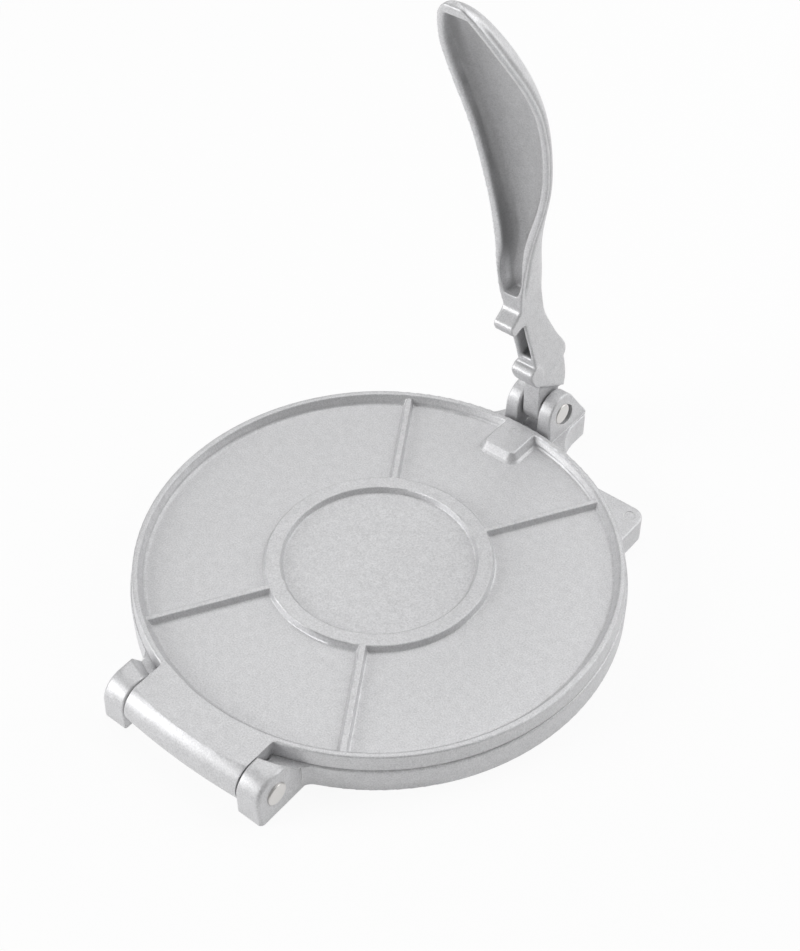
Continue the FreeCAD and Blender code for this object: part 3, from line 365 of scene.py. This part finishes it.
# ramps in the grip: its side, its mouth, its foot, and the turn from the floor to the walls
GRIP_SIDE = (2.2, 1.0)
GRIP_MOUTH = (0.6, 1.2)
GRIP_FOOT = (97.0, 2.0)
FLOOR_TO_WALL = (0.45, 0.2)
# height and front line of the neck, and half the width of its pocket
NECK_FRONT = np.array([(44.0, 92.4), (53.5, 89.8), (60.3, 87.7), (71.3, 84.0), (82.7, 80.2)])
POCKET_HALF = 2.6
# ramps in the pocket: its side, its mouth, its back, its foot and its head
POCKET_SIDE = (0.0, 0.3)
POCKET_MOUTH = (0.7, 1.0)
POCKET_BACK = (-8.0, 0.5)
POCKET_FOOT = (44.0, 2.0)
POCKET_HEAD = (-84.0, 2.0)


def hollow_shade(points, normals):
    """The strength of the painted shade: one deep in the pocket and a little over a half in the
    hollow of the grip, the product of ramps for being inside the walls, behind the opening and
    facing inwards."""
    height, across, behind, half = beside_lip(points)
    inward = -np.sign(points[:, 0]) * normals[:, 0]
    facing = rise(inward - normals[:, 1], *FACES_INWARDS)
    grip = rise(half - across, *GRIP_SIDE) * rise(behind, *GRIP_MOUTH) * facing
    shade = FLOOR_SHADE + WALL_SHADE * rise(inward, *FLOOR_TO_WALL)
    grip = grip * rise(height, *GRIP_FOOT) * shade
    deep = points[:, 1] / MM - np.interp(height, NECK_FRONT[:, 0], NECK_FRONT[:, 1])
    pocket = rise(POCKET_HALF - across, *POCKET_SIDE) * rise(deep, *POCKET_MOUTH)
    pocket = pocket * rise(-deep, *POCKET_BACK)
    pocket = pocket * rise(height, *POCKET_FOOT) * rise(-height, *POCKET_HEAD)
    ends = rise(inward - normals[:, 1] + np.abs(normals[:, 2]), *FACES_INWARDS)
    return np.maximum(grip, pocket * ends)


def store(piece, name, values):
    """Keeps one number per point on the piece under a name."""
    column = piece.data.attributes.new(name, "FLOAT", "POINT")
    column.data.foreach_set("value", values.astype(np.float32))
    print(name, "from", round(float(values.min()), 2), "to", round(float(values.max()), 2))


# painted shade along the groove beside the lip, joined to the painted shade of the hollows
groove_painted_shade = GROOVE_SHADE * sink / (GROOVE_DEPTH * MM)
store(handle, "hollow_shade", np.maximum(hollow_shade(handle_points, handle_normals), groove_painted_shade))
store(handle, "rounded_highlight", rounded_highlight)

# %% [markdown]
# ## The round back of the clevis
#
# The back corners of the block that carries the handle are rounded with a far larger radius than
# the drawing has. A bevel could widen them, but the edges of the ears meet there too. So a cutter
# of the shape that a corner loses stands at each side, a square with a quarter circle taken out,
# and the base is left without them.

# %% Rounding the two corners
CORNER_ROUND = 6.0 * MM
CORNER_STEPS = 14
# how far the cutter reaches past the block, and the height that it ends at
CUTTER_PAST = 1.0 * MM
CUTTER_TOP = 60 * MM
# the depth of the strip at the back in which the block's width is read
STRIP = 3 * MM


def corner_cutter(side, half, back, low, high):
    """The upright prism between a corner and its arc: points of the arc are
    (side (half - r + r cos t), back - r + r sin t) for t from 0 to 90 degrees."""
    turn = np.linspace(0, np.pi / 2, CORNER_STEPS)
    middle_x = half - CORNER_ROUND
    middle_y = back - CORNER_ROUND
    arc = np.column_stack([middle_x + CORNER_ROUND * np.cos(turn),
                           middle_y + CORNER_ROUND * np.sin(turn)])
    outside = np.array([(middle_x, back + CUTTER_PAST), (half + CUTTER_PAST, back + CUTTER_PAST),
                        (half + CUTTER_PAST, middle_y)])
    outline = np.vstack([arc, outside])
    outline[:, 0] *= side
    count = len(outline)
    rings = [np.column_stack([outline, np.full(count, level)]) for level in (low, high)]
    sides = [(i, (i + 1) % count, count + (i + 1) % count, count + i) for i in range(count)]
    faces = sides + [tuple(range(count))[::-1], tuple(range(count, 2 * count))]
    mesh = bpy.data.meshes.new("corner_cutter")
    mesh.from_pydata(np.vstack(rings).tolist(), [], faces)
    work = bmesh.new()
    work.from_mesh(mesh)
    bmesh.ops.recalc_face_normals(work, faces=work.faces)
    work.to_mesh(mesh)
    work.free()
    cutter = bpy.data.objects.new("corner_cutter", mesh)
    bpy.context.scene.collection.objects.link(cutter)
    return cutter


def cut_away(piece, cutter):
    """Takes the cutter's shape out of the piece and removes the cutter."""
    cut = piece.modifiers.new("cut", "BOOLEAN")
    cut.operation = "DIFFERENCE"
    cut.solver = "EXACT"
    cut.object = cutter
    bpy.context.view_layer.update()
    seen = piece.evaluated_get(bpy.context.evaluated_depsgraph_get())
    finished = bpy.data.meshes.new_from_object(seen)
    piece.modifiers.clear()
    piece.data = finished
    bpy.data.objects.remove(cutter)


base = copy_joined(nodes["base_plate"], "base_casting")
base_points = read_points(base.data)
back = float(base_points[:, 1].max())
block = base_points[base_points[:, 1] > back - STRIP]
block_half = float(np.abs(block[:, 0]).max())
print("clevis block:", round(2 * block_half / MM, 1), "mm wide")
for side in (-1, 1):
    cut_away(base, corner_cutter(side, block_half, back, -CUTTER_PAST, CUTTER_TOP))
print("base:", len(base.data.vertices), "points")
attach(base, "base")
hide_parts("base_plate")

# %% [markdown]
# ## The skin of cast aluminium
#
# The castings were tumbled, so they have no shine of their own. Their skin is an even silver
# grey with a fine grain of about half a millimetre, a softer mottling a few millimetres wide,
# and here and there a pit. The grain could be a picture, but noise on the Object coordinates has
# the same scale everywhere and needs no unwrapping. The edges of the castings are worn round: a
# bevel worked out in the shader rounds their shading without a change to the mesh, and a painted
# highlight is laid along them.

# %% Helpers for a skin
# the cosines of the turn at which an edge begins to take its painted highlight and takes it fully
TURN_START_COSINE = 0.985
TURN_FULL_COSINE = 0.88


def add_node(tree, kind, **sockets):
    """Adds one shader node and sets its inputs, given as name=number or name=colour."""
    node = tree.nodes.new(kind)
    for name, value in sockets.items():
        node.inputs[name.replace("_", " ")].default_value = value
    return node


def number_read(tree, name):
    """The number that a piece keeps on its points under a name."""
    stored = tree.nodes.new("ShaderNodeAttribute")
    stored.attribute_name = name
    return stored.outputs["Fac"]


def turned_normal(tree, rounded):
    """How far the rounded normal turns from the drawn one: a ramp of their dot product, nought
    up to 10 degrees between them and one from 28 degrees on."""
    surface = add_node(tree, "ShaderNodeNewGeometry")
    dot = add_node(tree, "ShaderNodeVectorMath")
    dot.operation = "DOT_PRODUCT"
    tree.links.new(rounded.outputs["Normal"], dot.inputs[0])
    tree.links.new(surface.outputs["Normal"], dot.inputs[1])
    ramp = add_node(tree, "ShaderNodeMapRange", From_Min=TURN_START_COSINE,
                    From_Max=TURN_FULL_COSINE, To_Min=0.0, To_Max=1.0)
    tree.links.new(dot.outputs["Value"], ramp.inputs["Value"])
    return ramp.outputs["Result"]


def towards(tree, share, gain, colour, target):
    """Mixes a colour towards a target by a share times a gain."""
    scaled = add_node(tree, "ShaderNodeMath")
    scaled.operation = "MULTIPLY"
    tree.links.new(share, scaled.inputs[0])
    scaled.inputs[1].default_value = gain
    mixed = add_node(tree, "ShaderNodeMix")
    mixed.data_type = "RGBA"
    tree.links.new(scaled.outputs[0], mixed.inputs[0])
    tree.links.new(colour, mixed.inputs[6])
    mixed.inputs[7].default_value = (*target, 1)
    return mixed.outputs[2]


print("edges turn bright from", round(math.degrees(math.acos(TURN_START_COSINE))), "degrees on")

# %% A recipe for cast skin
# the white of the painted highlights and the dark of the painted shade
HIGHLIGHT_WHITE = (0.93, 0.93, 0.93)
SHADE_DARK = (0.12, 0.12, 0.122)
# how much painted highlight an edge and a rounded place take, and how much painted shade a
# hollow takes
EDGE_HIGHLIGHT_GAIN = 0.8
ROUNDED_HIGHLIGHT_GAIN = 1.0
HOLLOW_SHADE_GAIN = 0.85
# widths of the mottling, of the soft waves and of the cells that hold a pit each
MOTTLE_MM = 3.6
WAVE_MM = 14
PIT_CELL_MM = 3.1
# a pit's half width as a share of its cell, the depth of the pits and waves, and how strongly
# the pits show
PIT_HALF_SHARE = 0.12
PIT_DEPTH_MM = 0.05
PIT_STRENGTH = 0.5
WAVE_DEPTH_MM = 0.12
# the tone is three parts of grain to one of mottling
MOTTLE_SHARE = 0.25
BEVEL_SAMPLES = 6


def cast_skin(name, shade, grain_mm, roughness, grain_depth_mm, contrast, metallic=0.45,
              edge_mm=0.0, stored=False):
    """A metal skin: colour = shade times (1 plus or minus a mix of grain and mottling), with a
    painted highlight along rounded edges and painted shade in hollows, and a bump of grain, soft
    waves and pits over edges that are rounded by edge_mm."""
    material = bpy.data.materials.new(name)
    material.use_nodes = True
    tree = material.node_tree
    tree.nodes.clear()
    link = tree.links.new
    place = add_node(tree, "ShaderNodeTexCoord")
    grain = add_node(tree, "ShaderNodeTexNoise", Scale=1 / (grain_mm * MM), Detail=2.0,
                     Roughness=0.65)
    mottle = add_node(tree, "ShaderNodeTexNoise", Scale=1 / (MOTTLE_MM * MM), Detail=3.0,
                      Roughness=0.6)
    wave = add_node(tree, "ShaderNodeTexNoise", Scale=1 / (WAVE_MM * MM), Detail=1.0,
                    Roughness=0.5)
    pits = add_node(tree, "ShaderNodeTexVoronoi", Scale=1 / (PIT_CELL_MM * MM), Randomness=1.0)
    for noise in (grain, mottle, wave, pits):
        link(place.outputs["Object"], noise.inputs["Vector"])

    # tone
    blend = add_node(tree, "ShaderNodeMix")
    blend.data_type = "FLOAT"
    blend.inputs[0].default_value = MOTTLE_SHARE
    link(grain.outputs["Fac"], blend.inputs[2])
    link(mottle.outputs["Fac"], blend.inputs[3])
    tone = add_node(tree, "ShaderNodeMix")
    tone.data_type = "RGBA"
    link(blend.outputs[0], tone.inputs[0])
    tone.inputs[6].default_value = (*[channel * (1 - contrast) for channel in shade], 1)
    tone.inputs[7].default_value = (*[min(channel * (1 + contrast), 1) for channel in shade], 1)

    # bump: rounded edges first, then grain, waves and pits over them
    fine = add_node(tree, "ShaderNodeBump", Strength=1.0, Distance=grain_depth_mm * MM)
    link(grain.outputs["Fac"], fine.inputs["Height"])
    colour = tone.outputs[2]
    if edge_mm > 0:
        rounded = add_node(tree, "ShaderNodeBevel", Radius=edge_mm * MM)
        rounded.samples = BEVEL_SAMPLES
        link(rounded.outputs["Normal"], fine.inputs["Normal"])
        # painted highlight along the edges that the shader's bevel rounds, on convex and hollow
        # edges alike
        colour = towards(tree, turned_normal(tree, rounded), EDGE_HIGHLIGHT_GAIN, colour, HIGHLIGHT_WHITE)
    if stored:
        # painted highlight where the tumbling rounded the handle most
        colour = towards(tree, number_read(tree, "rounded_highlight"), ROUNDED_HIGHLIGHT_GAIN, colour, HIGHLIGHT_WHITE)
        # painted shade in the hollow of the grip, in the pocket of the neck and in the groove
        colour = towards(tree, number_read(tree, "hollow_shade"), HOLLOW_SHADE_GAIN, colour, SHADE_DARK)
    soft = add_node(tree, "ShaderNodeBump", Strength=1.0, Distance=WAVE_DEPTH_MM * MM)
    link(wave.outputs["Fac"], soft.inputs["Height"])
    link(fine.outputs["Normal"], soft.inputs["Normal"])
    pit_shape = add_node(tree, "ShaderNodeMapRange", From_Min=0.0, From_Max=PIT_HALF_SHARE,
                         To_Min=0.0, To_Max=1.0)
    link(pits.outputs["Distance"], pit_shape.inputs["Value"])
    pitted = add_node(tree, "ShaderNodeBump", Strength=PIT_STRENGTH, Distance=PIT_DEPTH_MM * MM)
    link(pit_shape.outputs["Result"], pitted.inputs["Height"])
    link(soft.outputs["Normal"], pitted.inputs["Normal"])

    skin = add_node(tree, "ShaderNodeBsdfPrincipled", Metallic=metallic, Roughness=roughness)
    link(colour, skin.inputs["Base Color"])
    link(pitted.outputs["Normal"], skin.inputs["Normal"])
    out = add_node(tree, "ShaderNodeOutputMaterial")
    link(skin.outputs["BSDF"], out.inputs["Surface"])
    return material


# %% Giving each piece its skin
SILVER = (0.655, 0.655, 0.665)
STEEL = (0.74, 0.725, 0.705)


def give(piece, material):
    """Puts one material on the whole of a piece."""
    piece.data.materials.clear()
    piece.data.materials.append(material)
    print(piece.name, "has", material.name)


plate_skin = cast_skin("cast_plate_skin", SILVER, grain_mm=0.62, roughness=0.48,
                       grain_depth_mm=0.06, contrast=0.46, edge_mm=0.5)
base_skin = cast_skin("cast_base_skin", SILVER, grain_mm=0.62, roughness=0.48,
                      grain_depth_mm=0.06, contrast=0.46, edge_mm=0.5)
handle_skin = cast_skin("cast_handle_skin", SILVER, grain_mm=0.6, roughness=0.42,
                        grain_depth_mm=0.07, contrast=0.5, stored=True)
pin_skin = cast_skin("turned_pin_skin", STEEL, grain_mm=0.4, roughness=0.32,
                     grain_depth_mm=0.01, contrast=0.06, metallic=0.6, edge_mm=0.3)
give(base, base_skin)
give(nodes["top_plate"], plate_skin)
give(nodes["hinge_pin"], pin_skin)
give(nodes["handle_pin"], pin_skin)
give(handle, handle_skin)

# %% [markdown]
# ## Floor and light
#
# The press is photographed on white, under large soft lamps. The floor could be a plain white
# sheet, but it would only be as white as the light on it. So a share of it glows for the camera
# and for reflections, and it stays white while it still takes a soft shadow. A large lamp hangs
# above and behind, one stands at the right behind the handle, and one at the front left, which
# draws the bright band along the hinge barrel.

# %% A white floor
FLOOR_HALF = 4.0
FLOOR_WHITE = (0.86, 0.86, 0.86)
GLOW_SHARE = 0.92


def seen_directly(tree):
    """One where the camera, a reflection or a refraction looks, and nought for plain light."""
    path = add_node(tree, "ShaderNodeLightPath")
    total = path.outputs["Is Camera Ray"]
    for name in ("Is Glossy Ray", "Is Transmission Ray"):
        larger = add_node(tree, "ShaderNodeMath")
        larger.operation = "MAXIMUM"
        tree.links.new(total, larger.inputs[0])
        tree.links.new(path.outputs[name], larger.inputs[1])
        total = larger.outputs[0]
    return total


def make_floor():
    """A large square at height nought whose material is mostly its own white."""
    mesh = bpy.data.meshes.new("floor")
    square = [(-FLOOR_HALF, -FLOOR_HALF, 0), (FLOOR_HALF, -FLOOR_HALF, 0),
              (FLOOR_HALF, FLOOR_HALF, 0), (-FLOOR_HALF, FLOOR_HALF, 0)]
    mesh.from_pydata(square, [], [(0, 1, 2, 3)])
    floor = bpy.data.objects.new("floor", mesh)
    bpy.context.scene.collection.objects.link(floor)
    material = bpy.data.materials.new("white_floor")
    material.use_nodes = True
    tree = material.node_tree
    tree.nodes.clear()
    link = tree.links.new
    paint = add_node(tree, "ShaderNodeBsdfDiffuse", Color=(*FLOOR_WHITE, 1))
    glow = add_node(tree, "ShaderNodeEmission", Color=(1, 1, 1, 1), Strength=1.0)
    share = add_node(tree, "ShaderNodeMath")
    share.operation = "MULTIPLY"
    link(seen_directly(tree), share.inputs[0])
    share.inputs[1].default_value = GLOW_SHARE
    mix = add_node(tree, "ShaderNodeMixShader")
    link(share.outputs[0], mix.inputs[0])
    link(paint.outputs["BSDF"], mix.inputs[1])
    link(glow.outputs["Emission"], mix.inputs[2])
    out = add_node(tree, "ShaderNodeOutputMaterial")
    link(mix.outputs["Shader"], out.inputs["Surface"])
    mesh.materials.append(material)
    print("floor", FLOOR_HALF * 2, "m wide")


make_floor()

# %% Lamps and surroundings
# strength of the white surround as light and as the camera sees it
SURROUND_LIGHT = 0.27
SURROUND_SEEN = 0.97


def add_lamp(name, position, target, width, height, watts):
    """A rectangular lamp at a position in metres, turned towards a target."""
    data = bpy.data.lights.new(name, "AREA")
    data.shape = "RECTANGLE"
    data.size = width
    data.size_y = height
    data.energy = watts
    lamp = bpy.data.objects.new(name, data)
    bpy.context.scene.collection.objects.link(lamp)
    lamp.location = position
    aim = Vector(target) - Vector(position)
    lamp.rotation_euler = aim.to_track_quat("-Z", "Y").to_euler()


add_lamp("lamp_above", (-0.40, 0.63, 1.44), (0, 0, 0.05), width=1.2, height=1.0, watts=7.2)
add_lamp("lamp_right", (0.62, 0.85, 0.68), (0, 0, 0.1), width=1.1, height=0.9, watts=7.5)
add_lamp("lamp_front_left", (-0.85, -1.0, 0.55), (0, 0, 0.03), width=0.8, height=0.7, watts=12)

world = bpy.data.worlds.new("studio")
bpy.context.scene.world = world
world.use_nodes = True
world_tree = world.node_tree
world_tree.nodes.clear()
surround = add_node(world_tree, "ShaderNodeBackground", Color=(1, 1, 1, 1))
ray = add_node(world_tree, "ShaderNodeLightPath")
level = add_node(world_tree, "ShaderNodeMapRange", From_Min=0.0, From_Max=1.0,
                 To_Min=SURROUND_LIGHT, To_Max=SURROUND_SEEN)
world_tree.links.new(ray.outputs["Is Camera Ray"], level.inputs["Value"])
world_tree.links.new(level.outputs["Result"], surround.inputs["Strength"])
world_out = add_node(world_tree, "ShaderNodeOutputWorld")
world_tree.links.new(surround.outputs["Background"], world_out.inputs["Surface"])

# %% [markdown]
# ## The camera
#
# The circles of the plates show where the photograph was taken from: about 45 degrees up and 39
# degrees to the right of the hinge, 0.68 m away. A camera is a position, a point that it looks
# at, a small roll and a lens.

# %% Camera
EYE = (0.2854, -0.34275, 0.5003)
LOOKS_AT = (-0.0210, 0.03215, 0.0195)
ROLL_DEGREES = -0.28
LENS_MM = 62.22
SENSOR_MM = 36

camera_data = bpy.data.cameras.new("camera")
camera_data.lens = LENS_MM
camera_data.sensor_width = SENSOR_MM
camera = bpy.data.objects.new("camera", camera_data)
bpy.context.scene.collection.objects.link(camera)
camera.location = EYE
gaze = Vector(LOOKS_AT) - Vector(EYE)
turn = gaze.to_track_quat("-Z", "Y")
camera.rotation_euler = turn.to_euler()
camera.rotation_euler.rotate_axis("Z", math.radians(ROLL_DEGREES))
bpy.context.scene.camera = camera
bpy.context.scene.view_settings.view_transform = "Standard"
print("camera", round(gaze.length, 3), "m from the press")
